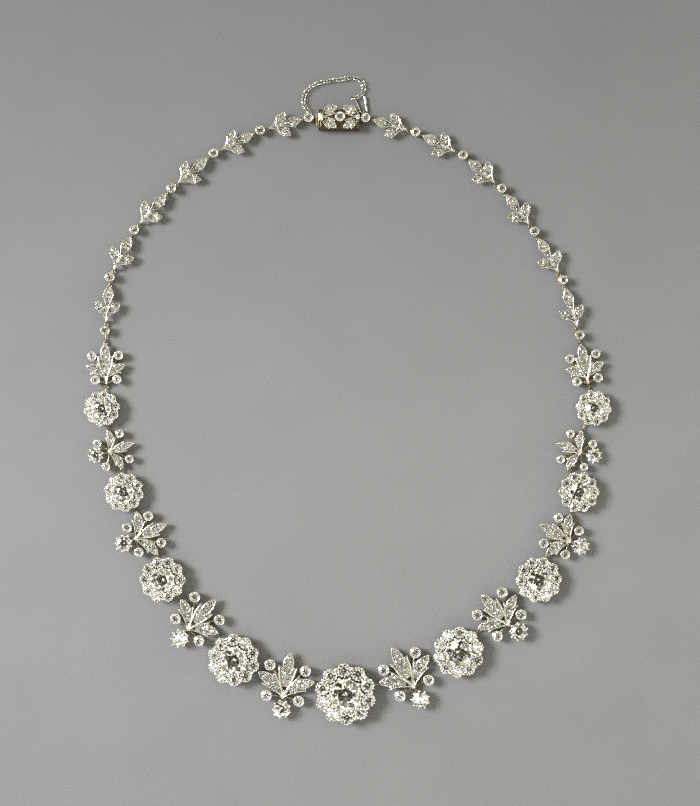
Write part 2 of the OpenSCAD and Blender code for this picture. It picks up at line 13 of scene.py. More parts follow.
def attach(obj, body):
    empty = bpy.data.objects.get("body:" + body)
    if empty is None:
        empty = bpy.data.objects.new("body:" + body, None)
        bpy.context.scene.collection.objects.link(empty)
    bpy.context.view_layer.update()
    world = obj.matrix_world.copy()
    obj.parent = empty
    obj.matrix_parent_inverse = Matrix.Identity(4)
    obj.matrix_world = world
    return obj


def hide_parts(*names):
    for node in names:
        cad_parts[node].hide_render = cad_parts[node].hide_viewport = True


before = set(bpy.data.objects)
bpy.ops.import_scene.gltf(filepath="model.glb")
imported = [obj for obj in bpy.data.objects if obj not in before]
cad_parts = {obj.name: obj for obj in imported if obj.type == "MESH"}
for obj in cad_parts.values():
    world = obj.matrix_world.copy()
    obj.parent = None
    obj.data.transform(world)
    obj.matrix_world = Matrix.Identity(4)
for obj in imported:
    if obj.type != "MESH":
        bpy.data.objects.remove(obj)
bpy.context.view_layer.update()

MM = 0.001
TAU = 2 * math.pi

# Places of the pieces in millimetres, as in the model's own tables
FLOWERS = [
    (-61.6, -2.2, 9.0), (-56.1, -23.1, 9.9), (-46.4, -44.95, 11.5), (-28.65, -65.0, 13.1),
    (-0.75, -73.5, 15.4), (27.5, -63.1, 12.9), (47.55, -45.0, 11.6), (57.6, -23.1, 10.2),
    (61.3, -2.1, 9.0),
]
# Place, turn in degrees and shape of each spray
SPRAYS = [
    (-60.6, 4.1, 2, 0), (-60.05, -13.2, -69, 1), (-53.55, -34.95, -64, 2), (-40.4, -57.65, -43, 3),
    (-16.5, -74.7, -10, 4), (16.5, -72.15, 29, 4), (40.3, -56.55, 42, 3), (55.65, -35.6, 60, 2),
    (58.35, -13.3, 69, 1), (60.0, 4.1, 11, 0),
]
# Leaf length, side leaf's start and tip, and the collets' diameter
SPRAY_SHAPES = [
    dict(leaf=10.0, start=1.2, tip=(4.75, 4.5), cup=2.3),
    dict(leaf=6.6, start=0, tip=(5.1, 1.9), cup=2.1),
    dict(leaf=8.9, start=0, tip=(6.0, 3.6), cup=2.4),
    dict(leaf=10.5, start=0, tip=(6.3, 4.7), cup=2.7),
    dict(leaf=11.6, start=0, tip=(7.1, 5.4), cup=2.8),
]
COLLETS = {
    "left": [(-9.95, 70.6), (-22.1, 67.4), (-33.75, 61.7), (-44.3, 52.9), (-53.6, 42.5),
             (-59.7, 30.7), (-60.9, 17.3)],
    "right": [(4.3, 70.6), (16.8, 66.95), (28.65, 61.2), (38.35, 52.9), (46.6, 42.15),
              (53.7, 29.95), (57.9, 16.2)],
}
PETALS = 10
CLAWS = 9
MIDDLE_FLOWER = len(FLOWERS) // 2
LAST_COLLET = len(COLLETS["left"]) - 1

# Diameter at which the stones are cut, their proportions, and heights of the settings
CUT_D = 10.0
PAVILION = 0.43
CROWN = 0.15
TABLE = 0.52
STONE_HEIGHT = PAVILION + CROWN
SEAT_GAP = 0.04
RIM_HEIGHT = 0.12
PETAL_FLOOR = 1.45
LEAF_FLOOR = 1.3
LEAF_TOP = 2.1
LEAF_STEP = 0.15
COLLET_D = 2.36
STEM_Z = 1.1
STEM_R = 0.31
# Knot where the stems of a spray meet
KNOT_R = 0.42
KNOT_TOP = LEAF_TOP - 0.8
EYE_R = 0.42
EYE_WIRE = 0.14
EYE_STEP = 0.46
# How far the rings of a collet in the back chain reach from its middle
COLLET_REACH = COLLET_D / 2 + 0.05 + 2 * EYE_R + EYE_STEP
EYE_Z = 0.66
ARM_Z = 0.66
ARM_R = 0.17
POST_R = 0.19
SIDE_POST = 0.86
TOP_POST = 0.97
# Bow of a side leaf, and half widths of side and middle leaves, as parts of their length
LEAF_BOW = 0.1
SIDE_LEAF_W = 0.215
MIDDLE_LEAF_W = 0.175


# Small helpers for working by hand in code

def deselect():
    bpy.ops.object.select_all(action="DESELECT")


def pick(piece):
    deselect()
    piece.select_set(True)
    bpy.context.view_layer.objects.active = piece


def edit(piece):
    pick(piece)
    bpy.ops.object.mode_set(mode="EDIT")
    bpy.ops.mesh.select_all(action="SELECT")


def leave():
    bpy.ops.object.mode_set(mode="OBJECT")


def named(name):
    piece = bpy.context.active_object
    piece.name = name
    return piece


def bake_place(piece):
    """Puts the object's own place, turn and scale into its mesh."""
    bpy.context.view_layer.update()
    piece.data.transform(piece.matrix_world)
    piece.matrix_world = Matrix.Identity(4)
    return piece


def copied(piece, matrix):
    twin = piece.copy()
    twin.data = piece.data.copy()
    bpy.context.collection.objects.link(twin)
    twin.data.transform(matrix)
    return twin


def joined(parts, name):
    deselect()
    for part in parts:
        part.select_set(True)
    bpy.context.view_layer.objects.active = parts[0]
    if len(parts) > 1:
        bpy.ops.object.join()
    return named(name)


def removed(*pieces):
    for piece in pieces:
        bpy.data.objects.remove(piece)


def at(x, y, z=0.0, turn=0.0, size=1.0):
    """Place in millimetres, turn about Z in degrees and one size for all directions."""
    return (Matrix.Translation((x, y, z)) @ Matrix.Rotation(math.radians(turn), 4, "Z")
            @ Matrix.Scale(size, 4))


def unit(v):
    return v.normalized()


def heading(v):
    return math.degrees(math.atan2(v.y, v.x))


def turned(p, degrees):
    return Matrix.Rotation(math.radians(degrees), 2) @ Vector(p)


def mixed(a, b, t):
    return a + (b - a) * t


# Basic shapes

def smoothed(piece):
    for face in piece.data.polygons:
        face.use_smooth = True
    return piece


def lathed(profile, spot, steps=40):
    """A ring or cup: the closed profile of (radius, height) points, spun upright about a spot."""
    bpy.ops.mesh.primitive_circle_add(vertices=len(profile), fill_type="NOTHING")
    ring = bpy.context.active_object
    for vertex, (radius, height) in zip(ring.data.vertices, profile):
        vertex.co = (radius, 0, height)
    edit(ring)
    bpy.ops.mesh.spin(steps=steps, angle=TAU, center=(0, 0, 0), axis=(0, 0, 1))
    bpy.ops.mesh.select_all(action="SELECT")
    bpy.ops.mesh.remove_doubles(threshold=0.002)
    bpy.ops.mesh.normals_make_consistent(inside=False)
    leave()
    ring.data.transform(at(spot.x, spot.y))
    return ring


def ball():
    """A ball of radius 1, the model of all grains and claw tips."""
    bpy.ops.mesh.primitive_uv_sphere_add(segments=8, ring_count=6, radius=1)
    return smoothed(bpy.context.active_object)


def grain(spot, z, size, tall=1.0):
    return copied(BALL, at(spot.x, spot.y, z, 0, size) @ Matrix.Diagonal((1, 1, tall, 1)))


def hoop(radius, wire_r, around=10):
    """A ring of round wire that lies flat about the origin."""
    bpy.ops.mesh.primitive_torus_add(major_radius=radius, minor_radius=wire_r,
                                     major_segments=28, minor_segments=around)
    return smoothed(bpy.context.active_object)


def wire(points, radius, closed=False, sides=2, tall=1.0, taper=None):
    """A drawn wire through points. tall makes its section higher than it is wide, and taper
    gives the wire's thickness at each point as a part of its radius."""
    line = bpy.data.curves.new("wire", "CURVE")
    line.dimensions = "3D"
    line.bevel_depth = radius
    line.bevel_resolution = sides
    line.use_fill_caps = True
    run = line.splines.new("POLY")
    run.points.add(len(points) - 1)
    for i, (spot, point) in enumerate(zip(run.points, points)):
        spot.co = (*point, 1)
        if taper:
            spot.radius = taper[i]
    run.use_cyclic_u = closed
    made = bpy.data.objects.new("wire", line)
    bpy.context.collection.objects.link(made)
    pick(made)
    bpy.ops.object.convert(target="MESH")
    made = bpy.context.active_object
    if tall != 1.0:
        middle = points[0][2]
        made.data.transform(Matrix.Translation((0, 0, middle)) @ Matrix.Diagonal((1, 1, tall, 1))
                            @ Matrix.Translation((0, 0, -middle)))
    for face in made.data.polygons:
        face.use_smooth = len(face.vertices) == 4
    return made


def pillar(spot, low, high, radius, sides=2):
    """An upright wire."""
    return wire([(spot.x, spot.y, low), (spot.x, spot.y, high)], radius, sides=sides)


def plate(outline, low, high):
    """A flat plate: an outline filled, then extruded from its low to its high side."""
    bpy.ops.mesh.primitive_circle_add(vertices=len(outline), fill_type="NGON")
    made = bpy.context.active_object
    for vertex, (x, y) in zip(made.data.vertices, outline):
        vertex.co = (x, y, low)
    edit(made)
    bpy.ops.mesh.extrude_region_move(TRANSFORM_OT_translate={"value": (0, 0, high - low)})
    bpy.ops.mesh.select_all(action="SELECT")
    bpy.ops.mesh.normals_make_consistent(inside=False)
    leave()
    return made


def arc(a, b, bow, count=7):
    """Points of a shallow arc from a to b that bows sideways."""
    across = Vector((-(b.y - a.y), b.x - a.x))
    spots = []
    for i in range(count):
        t = i / (count - 1)
        spots.append(mixed(a, b, t) + across * bow * 4 * t * (1 - t))
    return spots


def lifted(points, z):
    return [(p.x, p.y, z) for p in points]


# Stones, cut by planes as a lapidary cuts them

def cut(stone, slope, azimuth, distance, height):
    """One facet: keeps what lies under a plane through a point at that distance and height."""
    out = Vector((math.cos(azimuth), math.sin(azimuth), 0))
    normal = out * math.sin(slope) + Vector((0, 0, math.cos(slope)))
    bpy.ops.mesh.select_all(action="SELECT")
    bpy.ops.mesh.bisect(plane_co=out * distance + Vector((0, 0, height)), plane_no=normal,
                        use_fill=True, clear_outer=True, threshold=0.00001)


def brilliant():
    """Round brilliant: table, 8 kites, 8 stars and 16 girdle facets over a pavilion of 8 mains
    and 16 lower facets."""
    d = CUT_D
    girdle = 0.012 * d
    table_r = TABLE * d / 2
    bpy.ops.mesh.primitive_cylinder_add(vertices=32, radius=d / 2, depth=2 * d)
    stone = named("brilliant")
    edit(stone)
    crown_slope = math.atan2(CROWN * d - girdle, d / 2 - table_r)
    step = TAU / 8
    cut(stone, 0, 0, 0, CROWN * d)
    for k in range(8):
        cut(stone, crown_slope, k * step, d / 2, girdle)
    for k in range(16):
        cut(stone, crown_slope + math.radians(6.5), (k + 0.5) * step / 2,
            d / 2 * math.cos(step / 4), girdle)
    for k in range(8):
        cut(stone, crown_slope * 0.62, (k + 0.5) * step, table_r * math.cos(step / 2), CROWN * d)
    depth = -PAVILION * d
    pavilion_slope = math.atan2(-girdle - depth, d / 2)
    for k in range(8):
        cut(stone, math.pi - pavilion_slope, k * step, d / 2, -girdle)
    for k in range(16):
        cut(stone, math.pi - pavilion_slope - math.radians(4.2), (k + 0.5) * step / 2,
            d / 2 * math.cos(step / 4), -girdle)
    cut(stone, math.pi, 0, 0, depth * 0.97)
    leave()
    return stone


def little_brilliant():
    """Small stone with a table, 16 crown facets and 8 pavilion facets."""
    d = CUT_D
    girdle = 0.02 * d
    bpy.ops.mesh.primitive_cylinder_add(vertices=16, radius=d / 2, depth=2 * d)
    stone = named("little_brilliant")
    edit(stone)
    step = TAU / 8
    crown_slope = math.atan2(CROWN * d - girdle, d / 2 * (1 - TABLE))
    cut(stone, 0, 0, 0, CROWN * d)
    for k in range(8):
        cut(stone, crown_slope, k * step, d / 2, girdle)
    for k in range(8):
        cut(stone, crown_slope + math.radians(5), (k + 0.5) * step, d / 2 * 0.97, girdle)
    for k in range(8):
        cut(stone, math.pi - math.radians(40.5), (k + 0.5) * step, d / 2, -girdle)
    leave()
    return stone


def set_stone(shape, stone, chance, lean):
    """A cut stone at its place, turned by chance and leaning by up to so many degrees."""
    spot, girdle, d = stone
    tip_over = (Matrix.Rotation(math.radians(chance.uniform(-lean, lean)), 4, "X")
                @ Matrix.Rotation(math.radians(chance.uniform(-lean, lean)), 4, "Y"))
    turn = chance.uniform(0, 45)
    return copied(shape, at(spot.x, spot.y, girdle, turn, d / CUT_D) @ tip_over)


def stones_in(node):
    """Middle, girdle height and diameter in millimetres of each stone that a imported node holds."""
    twin = copied(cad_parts[node], Matrix.Scale(1 / MM, 4))
    edit(twin)
    bpy.ops.mesh.remove_doubles(threshold=0.001)
    bpy.ops.mesh.separate(type="LOOSE")
    leave()
    found = []
    for part in list(bpy.context.selected_objects):
        xs, ys, zs = zip(*(v.co for v in part.data.vertices))
        d = (max(zs) - min(zs)) / STONE_HEIGHT
        found.append((Vector(((max(xs) + min(xs)) / 2, (max(ys) + min(ys)) / 2)),
                      min(zs) + PAVILION * d, d))
        bpy.data.objects.remove(part)
    return found


def stone_near(stones, spot):
    return min(stones, key=lambda s: (s[0] - spot).length)


# Materials

DIAMOND_IOR = 2.417


def new_material(name):
    made = bpy.data.materials.new(name)
    made.use_nodes = True
    return made, made.node_tree.nodes, made.node_tree.links, made.node_tree.nodes["Principled BSDF"]


def build_wear_group():
    """Handling marks: a mask of soft stains and a fine scratched normal."""
    group = bpy.data.node_groups.new("handling", "ShaderNodeTree")
    for name, kind in (("Scale", "NodeSocketFloat"), ("Scratch", "NodeSocketFloat")):
        group.interface.new_socket(name, in_out="INPUT", socket_type=kind)
    group.interface.new_socket("Stain", in_out="OUTPUT", socket_type="NodeSocketFloat")
    group.interface.new_socket("Normal", in_out="OUTPUT", socket_type="NodeSocketVector")
    nodes, links = group.nodes, group.links
    take, give = nodes.new("NodeGroupInput"), nodes.new("NodeGroupOutput")
    where = nodes.new("ShaderNodeTexCoord")
    stain = nodes.new("ShaderNodeTexNoise")
    stain.inputs["Detail"].default_value = 4
    links.new(where.outputs["Object"], stain.inputs["Vector"])
    links.new(take.outputs["Scale"], stain.inputs["Scale"])
    links.new(stain.outputs["Fac"], give.inputs["Stain"])
    fine = nodes.new("ShaderNodeTexNoise")
    fine.inputs["Scale"].default_value = 6000
    fine.inputs["Detail"].default_value = 3
    links.new(where.outputs["Object"], fine.inputs["Vector"])
    bump = nodes.new("ShaderNodeBump")
    bump.inputs["Distance"].default_value = 0.00002
    links.new(fine.outputs["Fac"], bump.inputs["Height"])
    links.new(take.outputs["Scratch"], bump.inputs["Strength"])
    links.new(bump.outputs["Normal"], give.inputs["Normal"])
    return group


wear_group = build_wear_group()


def add_wear(nodes, scale, scratch):
    placed = nodes.new("ShaderNodeGroup")
    placed.node_tree = wear_group
    placed.inputs["Scale"].default_value = scale
    placed.inputs["Scratch"].default_value = scratch
    return placed


def ramp(nodes, links, factor, stops):
    made = nodes.new("ShaderNodeValToRGB")
    while len(made.color_ramp.elements) < len(stops):
        made.color_ramp.elements.new(0.5)
    for element, (place, colour) in zip(made.color_ramp.elements, stops):
        element.position = place
        element.color = (*colour, 1)
    links.new(factor, made.inputs["Fac"])
    return made.outputs["Color"]


def metal(name, light, dark, low_roughness, high_roughness, scratch, back=None):
    """Polished metal with handling marks. light and dark are the ends of its stain, and back is
    the colour of the gold backs, darkened with painted shade, up to where the fronts begin."""
    made, nodes, links, shader = new_material(name)
    wear = add_wear(nodes, 900, scratch)
    colour = ramp(nodes, links, wear.outputs["Stain"], [(0.3, dark), (0.6, light)])
    # Gold backs under the fronts, chosen by height: real gold, with its darkness painted shade under
    # the pieces
    if back:
        where = nodes.new("ShaderNodeTexCoord")
        parts = nodes.new("ShaderNodeSeparateXYZ")
        links.new(where.outputs["Object"], parts.inputs[0])
        level = nodes.new("ShaderNodeMapRange")
        level.inputs["From Min"].default_value = 1.5 * MM
        level.inputs["From Max"].default_value = 2.0 * MM
        links.new(parts.outputs["Z"], level.inputs["Value"])
        blend = nodes.new("ShaderNodeMix")
        blend.data_type = "RGBA"
        links.new(level.outputs["Result"], blend.inputs["Factor"])
        blend.inputs["A"].default_value = (*back, 1)
        links.new(colour, blend.inputs["B"])
        colour = blend.outputs["Result"]
    links.new(colour, shader.inputs["Base Color"])
    rough = nodes.new("ShaderNodeMapRange")
    rough.inputs["To Min"].default_value = high_roughness
    rough.inputs["To Max"].default_value = low_roughness
    links.new(wear.outputs["Stain"], rough.inputs["Value"])
    links.new(rough.outputs["Result"], shader.inputs["Roughness"])
    links.new(wear.outputs["Normal"], shader.inputs["Normal"])
    shader.inputs["Metallic"].default_value = 1
    return made


def diamond_material(name, tinted, clear):
    """Cut diamond: between a tinted and a clear colour by a soft stain."""
    made, nodes, links, shader = new_material(name)
    wear = add_wear(nodes, 260, 0)
    colour = ramp(nodes, links, wear.outputs["Stain"], [(0.3, tinted), (0.7, clear)])
    links.new(colour, shader.inputs["Base Color"])
    rough = nodes.new("ShaderNodeMapRange")
    rough.inputs["To Min"].default_value = 0.0
    rough.inputs["To Max"].default_value = 0.02
    links.new(wear.outputs["Stain"], rough.inputs["Value"])
    links.new(rough.outputs["Result"], shader.inputs["Roughness"])
    shader.inputs["IOR"].default_value = DIAMOND_IOR
    shader.inputs["Transmission Weight"].default_value = 1
    return made


def paper_material():
    """Grey paper, with painted shade that darkens it a little towards the top of the picture."""
    made, nodes, links, shader = new_material("backdrop")
    wear = add_wear(nodes, 40, 0.1)
    fibre = ramp(nodes, links, wear.outputs["Stain"], [
        (0.3, (0.97, 0.97, 0.97)), (0.7, (1.03, 1.03, 1.03)),
    ])
    where = nodes.new("ShaderNodeTexCoord")
    parts = nodes.new("ShaderNodeSeparateXYZ")
    links.new(where.outputs["Object"], parts.inputs[0])
    along = nodes.new("ShaderNodeMapRange")
    along.inputs["From Min"].default_value = -100 * MM
    along.inputs["From Max"].default_value = 100 * MM
    links.new(parts.outputs["Y"], along.inputs["Value"])
    # Painted shade: the paper's colour darkens along Y towards the top of the picture
    falloff_shade = ramp(nodes, links, along.outputs["Result"], [
        (0.0, (0.163, 0.163, 0.165)), (0.35, (0.166, 0.166, 0.168)),
        (0.5, (0.158, 0.158, 0.16)), (0.75, (0.135, 0.135, 0.137)),
        (1.0, (0.111, 0.111, 0.113)),
    ])
    blend = nodes.new("ShaderNodeMix")
    blend.data_type = "RGBA"
    blend.blend_type = "MULTIPLY"
    blend.inputs["Factor"].default_value = 1
    links.new(falloff_shade, blend.inputs["A"])
    links.new(fibre, blend.inputs["B"])
    links.new(blend.outputs["Result"], shader.inputs["Base Color"])
    links.new(wear.outputs["Normal"], shader.inputs["Normal"])
    shader.inputs["Roughness"].default_value = 0.85
    shader.inputs["Specular IOR Level"].default_value = 0.2
    return made


# Sprays and flowers, the back chain, claws and clasp motif, the floors under leaf stones, box
# and tongue, and the safety chain with its pin
# The gold backs of these two are a dark olive brown, partly painted shade below the fronts
platinum = metal("platinum", (0.92, 0.9, 0.84), (0.78, 0.75, 0.67), 0.14, 0.34, 0.3,
                 back=(0.32, 0.265, 0.16))
dull_platinum = metal("dull_platinum", (0.78, 0.76, 0.69), (0.6, 0.57, 0.49), 0.16, 0.36, 0.3,
                      back=(0.3, 0.26, 0.16))
bright_platinum = metal("bright_platinum", (0.93, 0.92, 0.89), (0.82, 0.8, 0.76), 0.1, 0.24, 0.3)
# Floors under the leaf stones: rougher platinum, darkened as painted shade in the gaps between the
# stones
shaded_satin_platinum = metal("shaded_satin_platinum", (0.56, 0.53, 0.45), (0.4, 0.37, 0.31), 0.4, 0.6, 0.3)
# Gold of the box and tongue, darkened to a deep brown as painted shade under the leaves
gold = metal("gold", (0.13, 0.1, 0.042), (0.05, 0.039, 0.018), 0.22, 0.4, 0.1)
# Its stain is placed at random like handling marks, and its near-black dark end is painted shade for
# the dark gaps between links
steel = metal("white_metal", (0.8, 0.79, 0.74), (0.12, 0.115, 0.09), 0.08, 0.2, 0.1)
diamond = diamond_material("diamond", (0.94, 0.95, 0.92), (1, 1, 1))
old_cut_diamond = diamond_material("old_cut_diamond", (0.7, 0.69, 0.63), (0.82, 0.81, 0.76))
backdrop = paper_material()


def finished(parts, name, material, slot, *nodes):
    """Joins the parts in millimetres into one piece in metres and hands it to the frame."""
    piece = joined(parts, name)
    piece.data.transform(Matrix.Scale(MM, 4))
    piece.data.materials.clear()
    piece.data.materials.append(material)
    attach(piece, "root")
    if nodes:
        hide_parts(*nodes)
    return piece


# Camera, lights and floor

# Height of the photo in pixels, and millimetres a pixel
PHOTO_HEIGHT = 806
PIXEL = 0.25
SENSOR = 36
WARM = (1, 0.98, 0.74)
CREAM = (1, 0.985, 0.8)
PALE = (1, 0.99, 0.9)
COOL = (0.97, 0.96, 1)
# Fill lights: azimuth, elevation, side in metres, brightness and colour
FILLS = [
    (5, 31, 0.6, 1.35, WARM), (50, 50, 0.5, 1.5, CREAM), (96, 32, 0.62, 1.3, WARM),
    (213, 34, 0.52, 1.4, CREAM), (262, 50, 0.62, 1.9, COOL), (316, 33, 0.6, 1.4, WARM),
    (150, 60, 0.3, 1.5, PALE), (195, 64, 0.3, 1.5, PALE), (340, 62, 0.3, 1.5, PALE),
]
# Azimuth and elevation of the small lights that make the stones sparkle
POINTS = [(20, 66), (75, 70), (128, 40), (240, 28), (290, 30)]


def softbox(name, azimuth, elevation, distance, side, brightness, colour):
    """A square light that faces the necklace, of the same brightness all over."""
    light = bpy.data.lights.new(name, "AREA")
    light.shape = "SQUARE"
    light.size = side
    light.energy = brightness * math.pi * side ** 2
    light.color = colour
    lamp = bpy.data.objects.new(name, light)
    bpy.context.collection.objects.link(lamp)
    around, up = math.radians(azimuth), math.radians(elevation)
    towards = Vector((math.cos(around) * math.cos(up), math.sin(around) * math.cos(up), math.sin(up)))
    lamp.location = towards * distance
    lamp.rotation_euler = (-lamp.location).to_track_quat("-Z", "Y").to_euler()


def light_room(nodes, links):
    """A room that is bright near the table's height and dark overhead."""
    where = nodes.new("ShaderNodeTexCoord")
    parts = nodes.new("ShaderNodeSeparateXYZ")
    links.new(where.outputs["Generated"], parts.inputs[0])
    glow = ramp(nodes, links, parts.outputs["Z"], [
        (0.0, (0.75, 0.73, 0.56)), (0.35, (0.75, 0.73, 0.56)), (0.5, (0.28, 0.27, 0.19)),
        (0.65, (0.04, 0.038, 0.022)),
    ])
    links.new(glow, nodes["Background"].inputs["Color"])


def build_set():
    """Camera straight above, as in the photo, with the paper, the lights and the room."""
    scene = bpy.context.scene
    camera_height = 0.4
    picture_height = PHOTO_HEIGHT * PIXEL * MM
    focus_z = 2.5 * MM
    floor_size = 6
    camera = bpy.data.objects.new("camera", bpy.data.cameras.new("camera"))
    bpy.context.collection.objects.link(camera)
    camera.data.sensor_width = SENSOR
    camera.data.lens = SENSOR * (camera_height - focus_z) / picture_height
    camera.data.clip_start = 0.01
    camera.location = (0.4 * MM, -0.83 * MM, camera_height)
    scene.camera = camera

    bpy.ops.mesh.primitive_plane_add(size=floor_size, location=(0, 0, 0))
    floor = named("floor")
    floor.data.materials.append(backdrop)

    softbox("key", 164, 39, 1.3, 0.42, 64, (0.95, 0.96, 1))
    for azimuth, elevation, side, brightness, colour in FILLS:
        softbox("fill", azimuth, elevation, 1.0, side, brightness, colour)
    for azimuth, elevation in POINTS:
        softbox("point", azimuth, elevation, 1.0, 0.07, 22, (0.97, 0.97, 1))

    world = bpy.data.worlds.new("room")
    scene.world = world
    world.use_nodes = True
    light_room(world.node_tree.nodes, world.node_tree.links)
    scene.view_settings.view_transform = "Standard"
    scene.cycles.max_bounces = 14
    scene.cycles.transmission_bounces = 14
    scene.cycles.glossy_bounces = 6
    scene.cycles.sample_clamp_indirect = 6
    # A denoiser would blur the sparkle of the facets
    scene.cycles.use_denoising = False


# Rings, arms and posts of the links

def eye(place, degrees, upright):
    """One linking ring, flat or standing up along the chain."""
    ring = hoop(EYE_R, EYE_WIRE, 12)
    lean = Matrix.Rotation(math.radians(90 if upright else 0), 4, "X")
    ring.data.transform(at(place.x, place.y, EYE_Z, degrees) @ lean)
    return ring


def leaf_eye(post, hub, upright):
    """Ring that hangs under a leaf, turned towards the hub, with its post."""
    u = unit(post - hub)
    return [eye(post - u * EYE_R, heading(u), upright),
            pillar(post, EYE_Z - EYE_WIRE, LEAF_FLOOR + 0.3, POST_R)]


def hub_eye(hub, post, wall, upright):
    """Ring on an arm that leaves the hub's wall towards the post."""
    u = unit(post - hub)
    far = (post - hub).length - 2 * EYE_R - EYE_STEP
    return [eye(hub + u * (far + EYE_R), heading(u), upright),
            wire(lifted([hub + u * wall, hub + u * far], ARM_Z), ARM_R)]


# Collets

def collet(cup_d, stone, base=0.0):
    """Cut-down collet round a stone: a tapered cup on a foot ring, its lip worked over the edge.
    It stands at the height of its base."""
    middle, girdle, d = stone
    r = cup_d / 2
    top = girdle + RIM_HEIGHT
    bore = d * 0.42
    seat = girdle - (d / 2 - bore) * 2 * PAVILION - SEAT_GAP
    wall = d / 2 + SEAT_GAP
    profile = [
        (bore * 0.8, 0), (r * 0.72, 0), (r * 0.76, 0.06), (r * 0.76, 0.34), (r * 0.7, 0.42),
        (r * 0.75, 0.8), (r * 0.93, top - 0.5), (r * 0.99, top - 0.2), (r * 0.985, top - 0.06),
        (r - 0.07, top), (r - 0.14, top + 0.02), (wall - 0.04, top - 0.03),
        (wall - 0.05, girdle + 0.06), (wall, girdle + 0.01), (wall, seat + 0.1), (bore, seat - 0.1),
    ]
    return smoothed(lathed([(radius, height or base) for radius, height in profile], middle))


# Leaves

# Edges of the leaves from the root up one side: part of the length, part of the half width, and
# thickness of the rim there. They are those of the middle leaf of a spray, its side leaves, the
# side leaves of a trefoil, its kite-shaped top leaf, and the lobe that stands out of all but the
# kite.
LEAF_RIM = [
    (0.0, 0.09, 0.8), (0.1, 0.14, 0.8), (0.18, 0.24, 0.85), (0.25, 0.43, 1.0), (0.33, 0.63, 1.1),
    (0.42, 0.8, 1.4), (0.5, 0.91, 1.6), (0.58, 0.99, 1.55), (0.64, 1.07, 1.15), (0.69, 1.15, 0.5),
    (0.655, 0.88, 0.7), (0.635, 0.66, 0.7),
]
SIDE_LEAF_RIM = [
    (0.0, 0.08, 0.8), (0.1, 0.13, 0.8), (0.18, 0.22, 0.85), (0.25, 0.36, 1.0), (0.33, 0.5, 1.1),
    (0.42, 0.63, 1.15), (0.5, 0.73, 1.2), (0.58, 0.85, 1.15), (0.64, 1.0, 1.0), (0.69, 1.14, 0.45),
    (0.655, 0.86, 0.7), (0.635, 0.64, 0.7),
]
LITTLE_LEAF_RIM = [
    (0.0, 0.14, 0.8), (0.12, 0.28, 0.9), (0.25, 0.55, 1.0), (0.38, 0.8, 1.0), (0.5, 0.95, 1.0),
    (0.62, 1.02, 1.1), (0.72, 1.08, 0.7), (0.69, 0.82, 0.7), (0.67, 0.62, 0.7),
]
KITE_RIM = [
    (0.0, 0.07, 0.9), (0.15, 0.25, 1.0), (0.3, 0.5, 1.0), (0.45, 0.78, 1.0), (0.56, 0.97, 1.0),
    (0.63, 1.0, 0.9), (0.72, 0.8, 0.9), (0.83, 0.5, 0.9), (0.93, 0.2, 0.9), (1.0, 0.0, 0.8),
]
LOBE_RIM = [
    (0.56, 0.4, 0.8), (0.62, 0.55, 0.9), (0.68, 0.61, 1), (0.74, 0.62, 1), (0.8, 0.57, 1),
    (0.86, 0.47, 1), (0.92, 0.31, 0.9), (0.97, 0.12, 0.8), (1.0, 0.0, 0.7),
]
# Points of a rim on each side of the root that are too narrow for a floor between them
ROOT_POINTS = 3
# Small stones of a spray's leaf, of a kite and of a little leaf: place across, place along and
# diameter, as parts of the half width, of the length and of the half width
BIG_LEAF_STONES = [
    (0.0, 0.315, 0.48), (-0.28, 0.43, 0.5), (0.28, 0.43, 0.5), (-0.54, 0.555, 0.46),
    (0.0, 0.55, 0.58), (0.54, 0.555, 0.46), (-0.31, 0.66, 0.56), (0.31, 0.66, 0.56),
    (-0.86, 0.655, 0.32), (0.86, 0.655, 0.32), (-0.29, 0.77, 0.48), (0.26, 0.775, 0.5),
    (0.0, 0.865, 0.54), (0.0, 0.95, 0.24),
]
KITE_STONES = [
    (0.0, 0.28, 0.4), (0.0, 0.43, 0.66), (-0.4, 0.6, 0.7), (0.4, 0.6, 0.7), (0.0, 0.77, 0.62),
]
LITTLE_LEAF_STONES = [
    (0.0, 0.36, 0.66), (-0.5, 0.57, 0.66), (0.5, 0.57, 0.66), (0.0, 0.79, 0.72),
]


def leaf_frame(base, tip, bow):
    """Turns (part of length, part of half width) into a point on the bowed leaf."""
    length = (tip - base).length
    up = unit(tip - base)
    across = Vector((up.y, -up.x))

    def point(s, side_w):
        shift = 4 * bow * length * s * (1 - s)
        return base + up * (s * length) + across * (side_w + shift)
    return point


